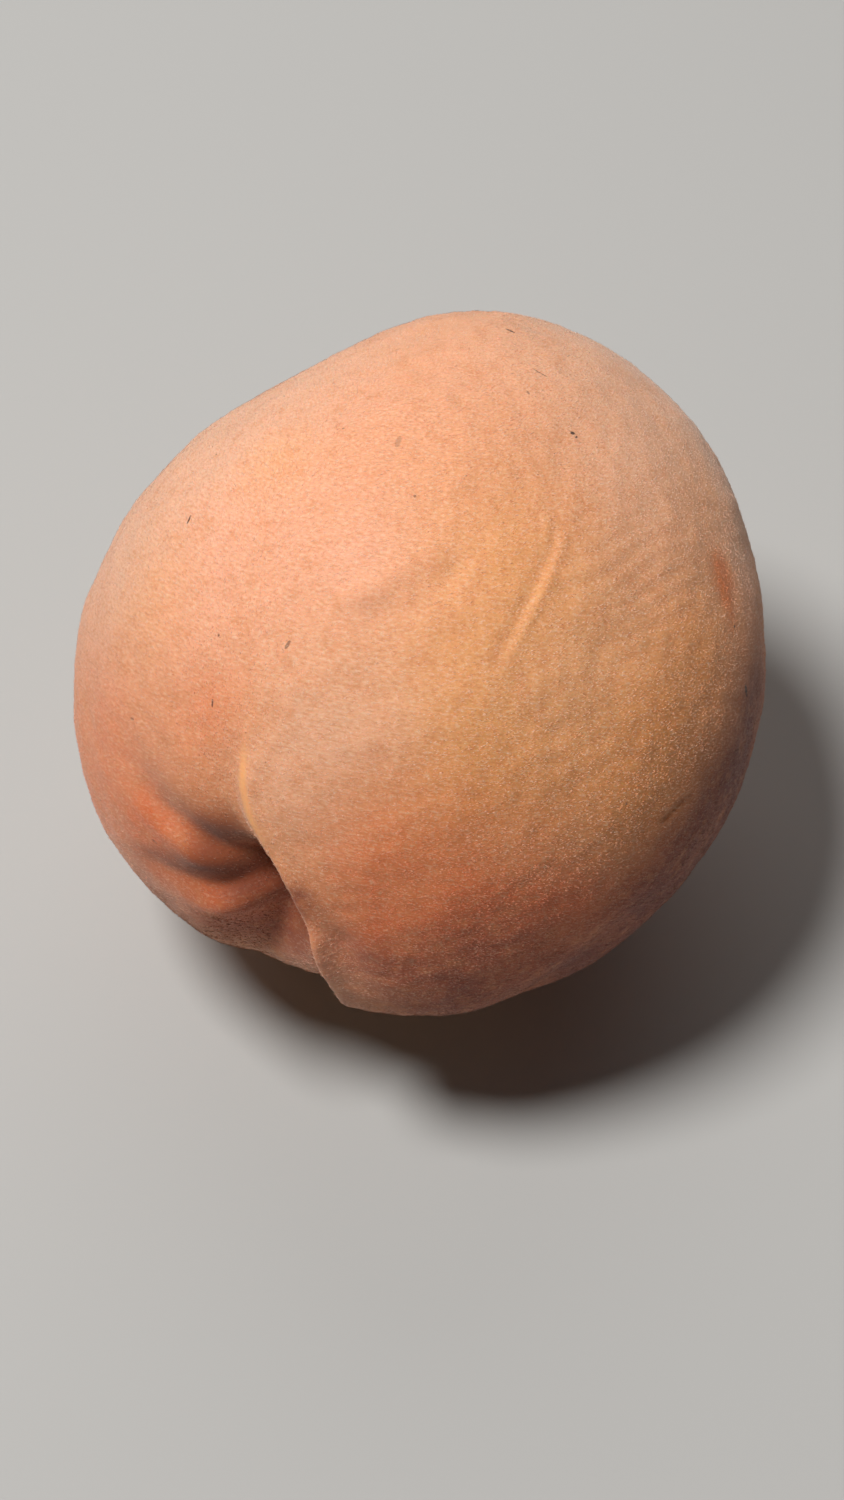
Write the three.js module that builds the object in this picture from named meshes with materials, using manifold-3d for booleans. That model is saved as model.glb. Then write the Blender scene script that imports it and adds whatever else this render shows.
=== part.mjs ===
// A ripe peach, as picked, lying on its back shoulder.
//
// The fruit is one body worked out as a function of two angles: the polar angle, from
// 0 degrees at the stem cavity to 180 at the tip, and the azimuth, counted from the lip
// of the crease, positive over the lobe that the lip overlaps.
// Lengths are millimetres, angles are degrees, and +Z is up.

import * as THREE from 'three';
import { mergeVertices } from 'three/addons/utils/BufferGeometryUtils.js';
import Module from 'manifold-3d';

// Body: half of each width of the egg-like form that the lumps and folds are worked on.
const HALF_DEPTH = 37.5;
const HALF_BREADTH = 38;
const HALF_HEIGHT = 37;

// Lie of the fruit: where its stem end and its crease point when it rests.
const STEM_DIRECTION = new THREE.Vector3(-0.12, -0.643, -0.756);
const CREASE_DIRECTION = new THREE.Vector3(-0.552, -0.59, 0.59);
const REST_DEPTH = 0.9;

// Broad swells of the flesh: the angles of each one's middle, and its height.
const SWELL_SPREAD = 26;
const SWELLS = [
  { name: 'right of the tip', polar: 142, azimuth: -134, height: 2.9 },
  { name: 'behind the tip', polar: 170, azimuth: 164, height: 2.9 },
  { name: 'flat beside the tip', polar: 150, azimuth: 74, height: -2.15 },
  { name: 'flat of the left cheek', polar: 122, azimuth: 62, height: -1 },
  { name: 'left shoulder', polar: 60, azimuth: 44, height: 1.7 },
  { name: 'right shoulder', polar: 30, azimuth: -36, height: 2.6 },
  { name: 'back of the right cheek', polar: 64, azimuth: -110, height: -0.4 },
];

// Stem cavity, where the twig sat.
const CAVITY_DEPTH = 11;
const CAVITY_SPREAD = 20;
const CAVITY_STEEPNESS = 2.6;

// Lip line: it bows by LIP_BOW degrees towards the stem and drifts slowly to the tip.
const LIP_SHIFT = -1.8;
const LIP_DRIFT = 0.12;
const LIP_DRIFT_FROM = 85;
const LIP_BOW = -16.5;
const LIP_BOW_AT = 67;
const LIP_BOW_EASE = 5.5;
const LIP_ENDS_AT = 88;
const LIP_ENDS_EASE = 3;

// Crease: deep from the stem to CREASE_ENDS_AT. The lip's small step runs on to
// LIP_ENDS_AT, and a shallow furrow, the suture, from there to the tip.
const CREASE_DEPTH = 5.2;
const CREASE_ENDS_AT = 66;
const CREASE_ENDS_EASE = 2.2;
const LIP_STEP = 0.9;
const SUTURE_DEPTH = 0.35;
const SUTURE_DEPTH_AT_TIP = 1.1;
const SUTURE_DEEPENS_AT = 132;
const SUTURE_DEEPENS_EASE = 9;
const STEP_UNDER_LIP = 1.2;
const CREASE_UNDER_LIP = 2.6;
const CREASE_LEAN = 0.5;
const STEM_EASE = 0.6;
const STEM_EASE_TO = 44;

// Widths of the crease's gentle left side and of its steep side under the lip.
const LEFT_WIDTH = 4;
const LEFT_WIDTH_AT_STEM = 10;
const LEFT_WIDTH_AT_TIP = 9;
const LEFT_WIDENS_AT = 50;
const LEFT_WIDENS_EASE = 7;
const RIGHT_WIDTH = 1.2;
const RIGHT_WIDTH_AT_STEM = 2.8;
const RIGHT_WIDTH_AT_TIP = 7;
const LIP_BEAD_HEIGHT = 0.3;
const LIP_BEAD_WIDTH = 1.2;

// Folds: each follows a curve through three points [polar, azimuth from the lip].
const FOLD_RADIUS = 37.5;
const FOLD_STEPS = 24;
const FOLDS = [
  { name: 'upper fold', from: [63, 2], through: [64.5, 14], to: [84, 30], depth: 2.2, width: 2.6 },
  { name: 'lower fold', from: [60, 6], through: [57.5, 18], to: [58, 46], depth: 1.8, width: 1.8 },
  { name: 'flank valley', from: [61, 8], through: [46, 18], to: [16, 62], depth: 2.6, width: 3 },
  { name: 'pit by the lip', from: [66, 4], through: [62, 7], to: [57, 9], depth: 2.6, width: 2.4 },
  { name: 'upper roll', from: [64.5, 13], through: [64.5, 20], to: [74, 31], depth: -1, width: 1.9 },
  { name: 'lower roll', from: [55, 16], through: [53, 22], to: [51, 36], depth: -1, width: 2.4 },
  { name: 'flank ridge', from: [59, 3], through: [46, 6], to: [24, 16], depth: -1.1, width: 2.4 },
  { name: 'lip roll', from: [55, -1], through: [48, 0], to: [38, -2], depth: -1, width: 1.5 },
  { name: 'lip fold', from: [56, -3.5], through: [49, -6.5], to: [36, -12], depth: 0.9, width: 2 },
  { name: 'right pleat', from: [34, -60], through: [45, -62], to: [66, -66], depth: 1, width: 4.5 },
  { name: 'left pleat', from: [30, 98], through: [42, 100], to: [62, 96], depth: 1.1, width: 4.5 },
  { name: 'back pleat', from: [30, -125], through: [42, -122], to: [60, -128], depth: 1, width: 4.5 },
];

// Mesh: rings from stem to tip and columns round them, crowded towards the folds.
const RINGS = 60;
const RING_CROWD = { at: 52, spread: 30, strength: 1 };
const COLUMNS = 72;
const COLUMN_CROWD = { at: 4, spread: 9, strength: 4 };

const SKIN = { color: 0xd98a4f, roughness: 0.85, metalness: 0 };

const { degToRad, clamp, lerp } = THREE.MathUtils;

const wasm = await Module();
wasm.setup();

// A bell curve of height 1, which falls to 1/e at the given width.
function bell(distance, width) {
  return Math.exp(-((distance / width) ** 2));
}

// A smooth step from 1 before a place to 0 after it.
function fallAt(value, place, ease) {
  return 1 / (1 + Math.exp((value - place) / ease));
}

function direction(polar, azimuth) {
  const sine = Math.sin(degToRad(polar));
  return new THREE.Vector3(
    sine * Math.cos(degToRad(azimuth)),
    sine * Math.sin(degToRad(azimuth)),
    Math.cos(degToRad(polar)),
  );
}

function lipAzimuth(polar) {
  const bow = LIP_BOW * fallAt(polar, LIP_BOW_AT, LIP_BOW_EASE);
  return LIP_SHIFT + bow + LIP_DRIFT * Math.max(polar - LIP_DRIFT_FROM, 0);
}

// Distance from the middle of an ellipsoid to its surface.
function ellipsoidRadius(toward) {
  const scaled = new THREE.Vector3(
    toward.x / HALF_DEPTH,
    toward.y / HALF_BREADTH,
    toward.z / HALF_HEIGHT,
  );
  return 1 / scaled.length();
}

// Each swell is a bell on the sphere of directions.
function swellHeight(toward) {
  const spread = 1 - Math.cos(degToRad(SWELL_SPREAD));
  let height = 0;
  for (const swell of SWELLS) {
    const cosine = toward.dot(direction(swell.polar, swell.azimuth));
    height += swell.height * Math.exp((cosine - 1) / spread);
  }
  return height;
}

// The curve of a fold is the parabola through its three points. The fold is a string of
// round dents along it, close enough to merge, that swell and die away along its length.
function stringOfDents(fold) {
  const dents = [];
  for (let step = 0; step <= FOLD_STEPS; step += 1) {
    const share = step / FOLD_STEPS;
    const angles = [0, 1].map((axis) => {
      const start = fold.from[axis];
      const end = fold.to[axis];
      const pull = 2 * fold.through[axis] - (start + end) / 2;
      return (1 - share) ** 2 * start + 2 * share * (1 - share) * pull + share ** 2 * end;
    });
    const place = direction(angles[0], angles[1] + lipAzimuth(angles[0]));
    dents.push({ place, strength: Math.sin(Math.PI * share ** 0.7) });
  }
  let length = 0;
  for (let step = 1; step < dents.length; step += 1) {
    length += FOLD_RADIUS * dents[step].place.distanceTo(dents[step - 1].place);
  }
  const overlap = length / FOLD_STEPS / (fold.width * Math.sqrt(Math.PI));
  for (const dent of dents) {
    dent.strength *= fold.depth * overlap;
  }
  return dents;
}

const foldDents = FOLDS.map((fold) => ({
  dents: stringOfDents(fold),
  width: fold.width,
  startsInCrease: fold.from[1] > 0 && fold.from[1] < 20,
}));

// Folds that run out of the crease act on its left side only.
function foldDepth(toward, arc) {
  let depth = 0;
  for (const fold of foldDents) {
    let sum = 0;
    for (const dent of fold.dents) {
      sum += dent.strength * bell(FOLD_RADIUS * toward.distanceTo(dent.place), fold.width);
    }
    depth += fold.startsInCrease ? sum * clamp(arc / 2, 0, 1) : sum;
  }
  return depth;
}

// How deep the crease is and how far its bottom lies under the lip, at a polar angle.
function creaseAlong(polar) {
  const lip = fallAt(polar, LIP_ENDS_AT, LIP_ENDS_EASE);
  const near = fallAt(polar, CREASE_ENDS_AT, CREASE_ENDS_EASE);
  const shallows = fallAt(polar, SUTURE_DEEPENS_AT, SUTURE_DEEPENS_EASE);
  const suture = lerp(SUTURE_DEPTH_AT_TIP, SUTURE_DEPTH, shallows);
  const deep = suture + (LIP_STEP - SUTURE_DEPTH) * lip + (CREASE_DEPTH - LIP_STEP) * near;
  const under = STEP_UNDER_LIP * lip + (CREASE_UNDER_LIP - STEP_UNDER_LIP) * near;
  return { lip, near, deep, under };
}

// The crease across: a gentle slope on its left, a steep wall under the lip on its right,
// and a faint bead along the lip.
function creaseAt(polar, azimuth, radius) {
  const { lip, near, deep, under } = creaseAlong(polar);
  const stem = Math.exp(-((polar / STEM_EASE_TO) ** 4));
  const round = Math.max(Math.sin(degToRad(polar)), 0.25) * radius;
  const arc = degToRad(azimuth) * round - under;

  const widening = fallAt(polar, LEFT_WIDENS_AT, LEFT_WIDENS_EASE);
  const left = lerp(LEFT_WIDTH_AT_TIP, LEFT_WIDTH, lip)
    + (LEFT_WIDTH_AT_STEM - LEFT_WIDTH) * widening;
  const right = lerp(RIGHT_WIDTH_AT_TIP, RIGHT_WIDTH, lip)
    + (RIGHT_WIDTH_AT_STEM - RIGHT_WIDTH) * stem;

  const ends = clamp((180 - polar) / 25, 0, 1) ** 0.7 * clamp(polar / 12, 0, 1);
  const depth = deep * (1 - STEM_EASE * stem) * ends * bell(arc, arc > 0 ? left : right);
  const bead = LIP_BEAD_HEIGHT * lip * bell(arc + right + LIP_BEAD_WIDTH, LIP_BEAD_WIDTH);
  return { depth, bead, arc, near };
}

// A point of the skin in the fruit's own axes: x towards the crease, z towards the stem.
// The crease leans sideways by a share of its depth, so that the lip overhangs it.
function skinPoint(polar, azimuthFromLip) {
  const azimuth = azimuthFromLip + lipAzimuth(polar);
  const toward = direction(polar, azimuth);
  const body = ellipsoidRadius(toward) + swellHeight(toward);
  const crease = creaseAt(polar, azimuthFromLip, body);
  const cavity = CAVITY_DEPTH * Math.exp(-((polar / CAVITY_SPREAD) ** CAVITY_STEEPNESS));
  const radius = body - crease.depth + crease.bead - cavity - foldDepth(toward, crease.arc);

  const lean = CREASE_LEAN * crease.depth * crease.near * clamp(polar / 25, 0, 1);
  const sideways = new THREE.Vector3(
    Math.sin(degToRad(azimuth)),
    -Math.cos(degToRad(azimuth)),
    0,
  );
  return toward.multiplyScalar(radius).addScaledVector(sideways, lean);
}

// Angles from low to high whose spacing narrows round the crowd's place: they are even
// steps of angle + strength * spread * atan((angle - at) / spread), found by halving.
function crowdedAngles(low, high, count, crowd) {
  const reach = (angle) => angle
    + crowd.strength * crowd.spread * Math.atan((angle - crowd.at) / crowd.spread);
  const angles = [];
  for (let step = 0; step <= count; step += 1) {
    const goal = lerp(reach(low), reach(high), step / count);
    let below = low;
    let above = high;
    for (let halving = 0; halving < 40; halving += 1) {
      const middle = (below + above) / 2;
      if (reach(middle) < goal) below = middle;
      else above = middle;
    }
    angles.push((below + above) / 2);
  }
  return angles;
}

// The turn from the fruit's own axes to the way it lies.
function restingTurn() {
  const stem = STEM_DIRECTION.clone().normalize();
  const crease = CREASE_DIRECTION.clone();
  crease.addScaledVector(stem, -crease.dot(stem)).normalize();
  const left = new THREE.Vector3().crossVectors(stem, crease);
  return new THREE.Matrix4().makeBasis(crease, left, stem);
}

// The closed skin: a point at each pole and a ring of columns at each polar angle between.
function skinMesh(turn) {
  const polars = crowdedAngles(0, 180, RINGS, RING_CROWD).slice(1, -1);
  const azimuths = crowdedAngles(-180, 180, COLUMNS, COLUMN_CROWD).slice(0, -1);
  const points = [skinPoint(0, 0)];
  for (const polar of polars) {
    for (const azimuth of azimuths) {
      points.push(skinPoint(polar, azimuth));
    }
  }
  points.push(skinPoint(180, 0));

  const triangles = [];
  const last = points.length - 1;
  const at = (ring, column) => 1 + ring * COLUMNS + (column % COLUMNS);
  for (let column = 0; column < COLUMNS; column += 1) {
    triangles.push(0, at(0, column), at(0, column + 1));
    for (let ring = 0; ring < polars.length - 1; ring += 1) {
      triangles.push(at(ring, column), at(ring + 1, column), at(ring + 1, column + 1));
      triangles.push(at(ring, column), at(ring + 1, column + 1), at(ring, column + 1));
    }
    triangles.push(at(polars.length - 1, column), last, at(polars.length - 1, column + 1));
  }
  const turned = points.map((point) => point.applyMatrix4(turn));
  return new wasm.Mesh({
    numProp: 3,
    vertProperties: new Float32Array(turned.flatMap((point) => point.toArray())),
    triVerts: new Uint32Array(triangles),
  });
}

// A block whose top face is at the given height, to cut the flat spot with.
function blockBelow(height) {
  const side = 4 * HALF_BREADTH;
  const box = new THREE.BoxGeometry(side, side, side);
  box.translate(0, 0, height - side / 2);
  box.deleteAttribute('normal');
  box.deleteAttribute('uv');
  const merged = mergeVertices(box);
  return new wasm.Manifold(new wasm.Mesh({
    numProp: 3,
    vertProperties: new Float32Array(merged.attributes.position.array),
    triVerts: new Uint32Array(merged.index.array),
  }));
}

// The fruit with its flat spot, moved so that the spot lies on z = 0 under its middle.
function restingFruit() {
  const whole = new wasm.Manifold(skinMesh(restingTurn()));
  const spotHeight = whole.boundingBox().min[2] + REST_DEPTH;
  const cut = whole.subtract(blockBelow(spotHeight)).getMesh();
  const geometry = new THREE.BufferGeometry();
  geometry.setAttribute('position', new THREE.BufferAttribute(cut.vertProperties, 3));
  geometry.setIndex(new THREE.BufferAttribute(cut.triVerts, 1));
  geometry.computeBoundingBox();
  const { min, max } = geometry.boundingBox;
  geometry.translate(-(min.x + max.x) / 2, -(min.y + max.y) / 2, -spotHeight);
  geometry.computeVertexNormals();
  return geometry;
}

const peach = new THREE.Mesh(restingFruit(), new THREE.MeshStandardMaterial(SKIN));
peach.name = 'peach';

const fruit = new THREE.Group();
fruit.add(peach);

export default fruit;
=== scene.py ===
"""A ripe peach lying on the shoulder beside its stem hollow, on a pale table, lit from the
upper left.

Lengths on the fruit are given in millimetres and turned into metres where a mesh is made.
Angles are degrees: the polar angle runs from 0 at the stem to 180 at the tip, and the
azimuth is counted from the lip of the crease, positive over the overlapped lobe.
"""

import math

import bpy
import numpy as np
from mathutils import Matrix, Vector


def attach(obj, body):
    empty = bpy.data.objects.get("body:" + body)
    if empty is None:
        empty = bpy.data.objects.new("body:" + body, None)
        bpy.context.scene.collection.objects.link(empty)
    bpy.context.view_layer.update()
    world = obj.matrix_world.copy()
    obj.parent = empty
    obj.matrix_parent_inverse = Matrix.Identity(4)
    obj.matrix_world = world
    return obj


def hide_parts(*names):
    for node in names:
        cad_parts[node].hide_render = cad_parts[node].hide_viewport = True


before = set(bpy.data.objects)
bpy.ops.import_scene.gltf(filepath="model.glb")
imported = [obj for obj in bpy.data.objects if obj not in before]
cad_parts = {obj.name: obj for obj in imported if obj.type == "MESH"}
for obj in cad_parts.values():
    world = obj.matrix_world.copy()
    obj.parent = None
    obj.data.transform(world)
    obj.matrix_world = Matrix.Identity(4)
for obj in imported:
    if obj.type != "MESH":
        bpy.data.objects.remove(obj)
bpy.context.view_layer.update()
MM = 0.001


# ---------------------------------------------------------------------------------------
# The skin: thin, soft and matt over firm flesh, grown as one body with two lobes. The right
# lobe has grown over the left one along the crease, which runs down into the hollow where
# the twig sat, and the left lobe is pushed into folds beside it.
# ---------------------------------------------------------------------------------------

# The body is an ellipsoid with the stem's end down and towards the front, and broad swells
# (flats, where the height is below 0) round it.
HALF_SIZES = np.array([37.5, 38.0, 37.0])
STEM_DIRECTION = np.array([-0.12, -0.643, -0.756])
CREASE_DIRECTION = np.array([-0.552, -0.59, 0.59])
REST_DEPTH = 0.9

SWELL_SPREAD = 26
SWELLS = [
    {"polar": 142, "azimuth": -134, "height": 2.9},
    {"polar": 170, "azimuth": 164, "height": 2.9},
    {"polar": 150, "azimuth": 74, "height": -2.15},
    {"polar": 122, "azimuth": 62, "height": -1.0},
    {"polar": 60, "azimuth": 44, "height": 1.7},
    {"polar": 30, "azimuth": -36, "height": 2.6},
    {"polar": 64, "azimuth": -110, "height": -0.4},
]

CAVITY_DEPTH = 11.0
CAVITY_SPREAD = 20.0
CAVITY_STEEPNESS = 2.6

# The lip's course over the azimuths, the step and bead along it, the deep crease under it
# from the stem to the middle, and the shallow suture that goes on to the tip.
LIP_SHIFT, LIP_DRIFT, LIP_DRIFT_FROM = -1.8, 0.12, 85.0
LIP_BOW, LIP_BOW_AT, LIP_BOW_EASE = -16.5, 67.0, 5.5
LIP_ENDS_AT, LIP_ENDS_EASE = 88.0, 3.0
LIP_STEP, LIP_BEAD_HEIGHT, LIP_BEAD_WIDTH = 0.9, 0.3, 1.2

CREASE_DEPTH, CREASE_ENDS_AT, CREASE_ENDS_EASE = 5.2, 66.0, 2.2
SUTURE_DEPTH, SUTURE_DEPTH_AT_TIP, SUTURE_DEEPENS_AT, SUTURE_DEEPENS_EASE = 0.35, 1.1, 132.0, 9.0
STEP_UNDER_LIP, CREASE_UNDER_LIP, CREASE_LEAN = 1.2, 2.6, 0.5
STEM_EASE, STEM_EASE_TO = 0.6, 44.0
LEAST_SINE = 0.25
FADE_AT_TIP, FADE_AT_TIP_POWER, FADE_AT_STEM, LEAN_FADE_AT_STEM = 25, 0.7, 12, 25
LEFT_WIDTH, LEFT_WIDTH_AT_STEM, LEFT_WIDTH_AT_TIP = 4.0, 10.0, 9.0
LEFT_WIDENS_AT, LEFT_WIDENS_EASE = 50.0, 7.0
RIGHT_WIDTH, RIGHT_WIDTH_AT_STEM, RIGHT_WIDTH_AT_TIP = 1.2, 2.8, 7.0

# Each fold's way runs through three places (polar angle, azimuth). A depth below 0 is a
# roll between folds. A fold that starts close beside the lip begins under it.
FOLD_RADIUS = 37.5
FOLD_STARTS_WITHIN, FOLD_START_WIDTH = 20, 2
STRING_SWELLS_EARLY = 0.7
FOLDS = [
    {"way": [(63, 2), (64.5, 14), (84, 30)], "depth": 2.2, "width": 2.6},
    {"way": [(60, 6), (57.5, 18), (58, 46)], "depth": 1.8, "width": 1.8},
    {"way": [(61, 8), (46, 18), (16, 62)], "depth": 2.6, "width": 3.0},
    {"way": [(66, 4), (62, 7), (57, 9)], "depth": 2.6, "width": 2.4},
    {"way": [(64.5, 13), (64.5, 20), (74, 31)], "depth": -1.0, "width": 1.9},
    {"way": [(55, 16), (53, 22), (51, 36)], "depth": -1.0, "width": 2.4},
    {"way": [(59, 3), (46, 6), (24, 16)], "depth": -1.1, "width": 2.4},
    {"way": [(55, -1), (48, 0), (38, -2)], "depth": -1.0, "width": 1.5},
    {"way": [(56, -3.5), (49, -6.5), (36, -12)], "depth": 0.9, "width": 2.0},
    {"way": [(34, -60), (45, -62), (66, -66)], "depth": 1.0, "width": 4.5},
    {"way": [(30, 98), (42, 100), (62, 96)], "depth": 1.1, "width": 4.5},
    {"way": [(30, -125), (42, -122), (60, -128)], "depth": 1.0, "width": 4.5},
]


def bell(distance, width):
    """A bell curve of height 1 that falls to 1/e at the width."""
    return np.exp(-((distance / width) ** 2))


def fall_at(value, place, ease):
    """A smooth step from 1 before the place to 0 after it."""
    return 1 / (1 + np.exp((value - place) / ease))


def direction(polar, azimuth):
    """The unit vector at two angles: sin p cos a, sin p sin a, cos p."""
    p, a = np.radians(polar), np.radians(azimuth)
    return np.stack([np.sin(p) * np.cos(a), np.sin(p) * np.sin(a), np.cos(p)], axis=-1)


def lip_azimuth(polar):
    """The lip's course: a bow of fixed size towards the stem and a slow drift to the tip."""
    bow = LIP_BOW * fall_at(polar, LIP_BOW_AT, LIP_BOW_EASE)
    return LIP_SHIFT + bow + LIP_DRIFT * np.maximum(polar - LIP_DRIFT_FROM, 0)


def string_depth(toward, way, depth, width, dents=24):
    """A groove as a string of round dents: bells set evenly along the parabola through
    the three points of its way, which swell and die away from one end to the other."""
    share = np.linspace(0, 1, dents + 1)[:, None]
    start, through, end = np.array(way, float)
    pull = 2 * through - (start + end) / 2
    points = (1 - share) ** 2 * start + 2 * share * (1 - share) * pull + share**2 * end
    places = direction(points[:, 0], points[:, 1] + lip_azimuth(points[:, 0]))
    length = FOLD_RADIUS * np.linalg.norm(np.diff(places, axis=0), axis=1).sum()
    strength = np.sin(np.pi * share[:, 0] ** STRING_SWELLS_EARLY) * depth
    strength *= length / dents / (width * math.sqrt(math.pi))
    sharpness = (FOLD_RADIUS / width) ** 2
    return np.exp(sharpness * (2 * toward @ places.T - 2)) @ strength


def crease(polar, azimuth, radius):
    """The crease across: a bell with a wide left half and a steep right half, which is
    moved under the lip, and a faint bead along the lip. The lip's small step goes on past
    the deep part, and from there a shallow furrow runs to the tip."""
    lip = fall_at(polar, LIP_ENDS_AT, LIP_ENDS_EASE)
    near = fall_at(polar, CREASE_ENDS_AT, CREASE_ENDS_EASE)
    stem = np.exp(-((polar / STEM_EASE_TO) ** 4))
    round_the_axis = np.maximum(np.sin(np.radians(polar)), LEAST_SINE) * radius
    under = STEP_UNDER_LIP * lip + (CREASE_UNDER_LIP - STEP_UNDER_LIP) * near
    arc = np.radians(azimuth) * round_the_axis - under

    ends = np.clip((180 - polar) / FADE_AT_TIP, 0, 1) ** FADE_AT_TIP_POWER
    ends = ends * np.clip(polar / FADE_AT_STEM, 0, 1)
    shallow = fall_at(polar, SUTURE_DEEPENS_AT, SUTURE_DEEPENS_EASE)
    deep = SUTURE_DEPTH_AT_TIP + (SUTURE_DEPTH - SUTURE_DEPTH_AT_TIP) * shallow
    deep += (LIP_STEP - SUTURE_DEPTH) * lip + (CREASE_DEPTH - LIP_STEP) * near
    left = LEFT_WIDTH_AT_TIP + (LEFT_WIDTH - LEFT_WIDTH_AT_TIP) * lip
    left += (LEFT_WIDTH_AT_STEM - LEFT_WIDTH) * fall_at(polar, LEFT_WIDENS_AT, LEFT_WIDENS_EASE)
    right = RIGHT_WIDTH_AT_TIP + (RIGHT_WIDTH - RIGHT_WIDTH_AT_TIP) * lip
    right += (RIGHT_WIDTH_AT_STEM - RIGHT_WIDTH) * stem

    depth = deep * (1 - STEM_EASE * stem) * ends * bell(arc, np.where(arc > 0, left, right))
    bead = LIP_BEAD_HEIGHT * lip * bell(arc + right + LIP_BEAD_WIDTH, LIP_BEAD_WIDTH)
    return depth, bead, arc, near


def body_points(polar, azimuth, relief):
    """Points of the skin, in the fruit's own axes: the radius of an ellipsoid, plus broad
    bells, less the crease, the stem hollow and the folds, plus the fine relief, along each
    direction; the crease then leans sideways by a share of its depth."""
    turned = azimuth + lip_azimuth(polar)
    toward = direction(polar, turned)
    radius = 1 / np.linalg.norm(toward / HALF_SIZES, axis=-1)
    spread = 1 - math.cos(math.radians(SWELL_SPREAD))
    for swell in SWELLS:
        cosine = toward @ direction(swell["polar"], swell["azimuth"])
        radius = radius + swell["height"] * np.exp((cosine - 1) / spread)

    depth, bead, arc, near = crease(polar, azimuth, radius)
    hollow = CAVITY_DEPTH * np.exp(-((polar / CAVITY_SPREAD) ** CAVITY_STEEPNESS))
    folds = np.zeros_like(radius)
    for fold in FOLDS:
        groove = string_depth(toward, **fold)
        starts_under_lip = 0 < fold["way"][0][1] < FOLD_STARTS_WITHIN
        folds += groove * (np.clip(arc / FOLD_START_WIDTH, 0, 1) if starts_under_lip else 1)

    lean = CREASE_LEAN * depth * near * np.clip(polar / LEAN_FADE_AT_STEM, 0, 1)
    aside = np.radians(turned)
    sideways = np.stack([np.sin(aside), -np.cos(aside), np.zeros_like(aside)], axis=-1)
    height = radius - depth + bead - hollow - folds + relief(toward, polar, azimuth)
    return toward * height[..., None] + sideways * lean[..., None]


def resting_axes():
    """Rows that turn the fruit's own axes (crease, left, stem) to the way it lies."""
    stem = STEM_DIRECTION / np.linalg.norm(STEM_DIRECTION)
    front = CREASE_DIRECTION - stem * (CREASE_DIRECTION @ stem)
    front /= np.linalg.norm(front)
    return np.stack([front, np.cross(stem, front), stem])


# The skin's fine relief: soft unevenness, small pebbles, a scar with a side ridge on the
# right cheek, a nick, shallow lumps and dents, fine ripples, and the dry scar of the twig
# at the bottom of the hollow.
UNEVEN = {"waves": 40, "lengths": (7, 18), "height": 0.09, "seed": 3}
PEBBLED = {"waves": 80, "lengths": (1.8, 4.5), "height": 0.035, "seed": 5}
MARKS = [
    {"way": [(129, -62), (115.5, -52.3), (103, -44)], "depth": -0.34, "width": 0.42},
    {"way": [(132, -59), (127.5, -57), (123, -55.5)], "depth": -0.26, "width": 0.38},
    {"way": [(128, -60), (115.5, -50.3), (104, -42.2)], "depth": 0.18, "width": 0.75},
    {"way": [(79, -75), (82, -79), (84, -83)], "depth": 0.35, "width": 0.5},
    {"way": [(112, -17), (117, -25), (123, -36)], "depth": -0.5, "width": 1.6},
    {"way": [(109, -22), (113, -29), (118, -38)], "depth": 0.3, "width": 1.8},
    {"way": [(117, -34), (121, -39), (126, -44)], "depth": 0.35, "width": 1.3},
    {"way": [(105, -24), (108, -28), (110, -33)], "depth": 0.25, "width": 2.0},
    {"way": [(112, -60), (108, -66), (106, -74)], "depth": 0.25, "width": 1.8},
    {"way": [(98, -50), (96, -58), (97, -66)], "depth": 0.25, "width": 2.2},
]
RIPPLES = {"polar": 121, "azimuth": -76, "reach": 7.5, "length": 1.9, "height": 0.075}
RIPPLE_WAY = np.array([-0.42, 0.74, 0.52])
RIPPLE_WANDER = {"waves": 24, "lengths": (6, 14), "height": 0.35, "seed": 11}
HOLLOW_RADIUS = 26.25
TWIG_SCAR = {"radius": 2.6, "rim": 0.5, "rim_width": 0.7, "depth": 0.9, "pit_width": 1.82}


def wavy(points, waves, lengths, height, seed):
    """A smooth random height: a sum of sine waves of random direction, length and phase."""
    rng = np.random.default_rng(seed)
    ways = rng.normal(size=(waves, 3))
    ways /= np.linalg.norm(ways, axis=1)[:, None]
    turns = 2 * math.pi / rng.uniform(*lengths, waves)
    phase = rng.uniform(0, 2 * math.pi, waves)
    total = np.zeros(points.shape[:-1])
    for way, turn, start in zip(ways, turns, phase):
        total += np.sin(points @ way * turn + start)
    return total * height * math.sqrt(2 / waves)


def skin_relief(toward, polar, azimuth):
    """Fine relief in millimetres: two sums of waves, the marks as strings of dents, the
    ripples as one train of waves under a bell, and the twig's scar as a rim and a pit."""
    points = toward * FOLD_RADIUS
    height = wavy(points, **UNEVEN) + wavy(points, **PEBBLED)
    for mark in MARKS:
        height -= string_depth(toward, **mark, dents=60)

    middle = direction(RIPPLES["polar"], RIPPLES["azimuth"] + lip_azimuth(RIPPLES["polar"]))
    patch = bell(FOLD_RADIUS * np.linalg.norm(toward - middle, axis=-1), RIPPLES["reach"])
    along = points @ (resting_axes() @ RIPPLE_WAY) + wavy(points, **RIPPLE_WANDER)
    height += RIPPLES["height"] * patch * np.sin(2 * math.pi * along / RIPPLES["length"])

    out = HOLLOW_RADIUS * np.radians(polar)
    height += TWIG_SCAR["rim"] * bell(out - TWIG_SCAR["radius"], TWIG_SCAR["rim_width"])
    return height - TWIG_SCAR["depth"] * bell(out, TWIG_SCAR["pit_width"])


SKIN_RINGS, SKIN_COLUMNS = 268, 352
RING_CROWDS = [(60, 30, 1.0)]
COLUMN_CROWDS = [(4, 9, 3.0), (-50, 30, 0.8)]


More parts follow.
